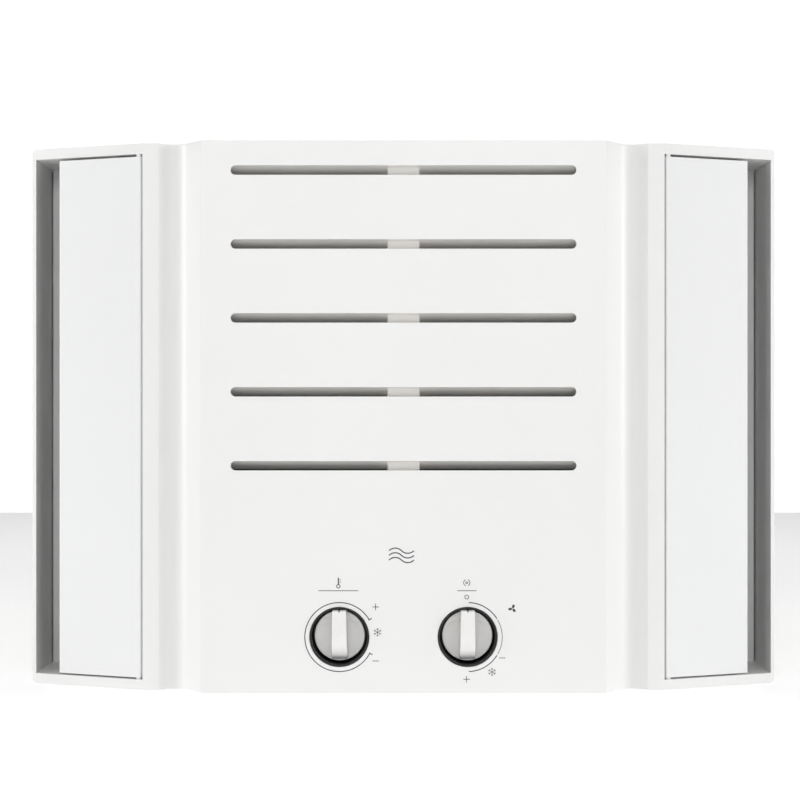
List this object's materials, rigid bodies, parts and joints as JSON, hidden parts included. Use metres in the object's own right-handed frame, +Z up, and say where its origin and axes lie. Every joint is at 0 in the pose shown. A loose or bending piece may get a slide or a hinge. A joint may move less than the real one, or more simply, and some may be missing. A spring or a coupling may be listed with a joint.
{
  "type": "window air conditioner",
  "caption": "Boxy window air conditioner: slotted intake panel with control dials, hinged deflector doors at both sides, lift-out filter, and a louvred steel case over the cooling unit.",
  "frame": {"origin": "middle of the underside", "axes": "+X to the right seen from the room, +Y from the room to the outdoor side, +Z up"},
  "size_m": [0.56, 0.5245, 0.402],
  "materials": {
    "housing": "satin moulded white plastic",
    "grille": "matt white plastic, shaded",
    "knob": "semi-gloss white plastic",
    "black_plastic": "black moulded plastic",
    "phenolic": "black phenolic resin",
    "duct_plastic": "white moulded styrene",
    "filter_plastic": "grey polypropylene",
    "filter_fabric": "woven nylon mesh",
    "fan_plastic": "black glass-filled plastic",
    "foam": "closed-cell grey foam",
    "case_paint": "powder coated steel sheet",
    "motor_paint": "black enamelled steel",
    "zinc_sheet": "zinc coated steel sheet",
    "bare_steel": "ground steel",
    "laminations": "stacked steel sheet",
    "screws": "zinc plated steel",
    "copper": "drawn copper",
    "fin_aluminium": "rolled aluminium foil",
    "aluminium_can": "drawn or cast aluminium",
    "rubber_parts": "black rubber"
  },
  "bodies": {
    "root": {"front_panel": "housing", "fascia_frame": "housing", "intake_grille": "grille", "knob_cups": "black_plastic", "fascia_screws": "screws", "right_outlet_guard": "grille", "left_outlet_guard": "grille", "thermostat": "phenolic", "thermostat_bulb": "copper", "mode_switch": "phenolic", "control_nuts": "screws", "control_box": "zinc_sheet", "run_capacitor": "aluminium_can", "terminal_block": "phenolic", "outer_case": "case_paint", "rear_guard": "case_paint", "guard_screws": "screws", "cord_gland": "rubber_parts", "foam_seals": "foam", "base_pan": "zinc_sheet", "drain_spout": "rubber_parts", "bulkhead": "zinc_sheet", "air_duct": "duct_plastic", "inlet_ring": "duct_plastic", "motor_shell": "motor_paint", "motor_end_shields": "aluminium_can", "motor_bolts": "screws", "motor_stator": "laminations", "motor_bracket": "zinc_sheet", "fan_shroud": "zinc_sheet", "evaporator_fins": "fin_aluminium", "evaporator_tubes": "copper", "evaporator_end_plates": "zinc_sheet", "drain_tray": "duct_plastic", "condenser_fins": "fin_aluminium", "condenser_tubes": "copper", "condenser_end_plates": "zinc_sheet", "compressor_shell": "motor_paint", "compressor_motor": "laminations", "compressor_feet": "motor_paint", "compressor_grommets": "rubber_parts", "compressor_studs": "screws", "terminal_cover": "phenolic", "accumulator": "motor_paint", "suction_pipe": "copper", "discharge_pipe": "copper", "filter_drier": "copper", "capillary_tube": "copper"},
    "left_deflector": {"left_deflector": "housing"},
    "right_deflector": {"right_deflector": "housing"},
    "temperature_knob": {"temperature_knob": "knob", "thermostat_spindle": "bare_steel"},
    "mode_knob": {"mode_knob": "knob", "switch_spindle": "bare_steel"},
    "fan_rotor": {"motor_shaft": "bare_steel", "motor_rotor": "laminations", "blower_wheel": "fan_plastic", "condenser_fan": "fan_plastic"},
    "air_filter": {"filter_frame": "filter_plastic", "filter_mesh": "filter_fabric"}
  },
  "joints": [
    {"name": "left_deflector_hinge", "type": "hinge", "parent": "root", "child": "left_deflector", "pos_m": [-0.19518, -0.23431, 0.2], "axis": [0, 0, 1], "range_deg": [0, 75]},
    {"name": "right_deflector_hinge", "type": "hinge", "parent": "root", "child": "right_deflector", "pos_m": [0.19518, -0.23431, 0.2], "axis": [0, 0, -1], "range_deg": [0, 75]},
    {"name": "temperature_knob_turn", "type": "hinge", "parent": "root", "child": "temperature_knob", "pos_m": [-0.0467, -0.242, 0.0407], "axis": [0, 1, 0], "range_deg": [-242, 60]},
    {"name": "mode_knob_turn", "type": "hinge", "parent": "root", "child": "mode_knob", "pos_m": [0.0467, -0.242, 0.0407], "axis": [0, 1, 0], "range_deg": [0, 180]},
    {"name": "fan_spin", "type": "hinge", "parent": "root", "child": "fan_rotor", "pos_m": [0, 0, 0.2], "axis": [0, 1, 0], "continuous": true},
    {"name": "filter_lift", "type": "slide", "parent": "root", "child": "air_filter", "axis": [0, 0, 1], "range_m": [0, 0.305]}
  ]
}
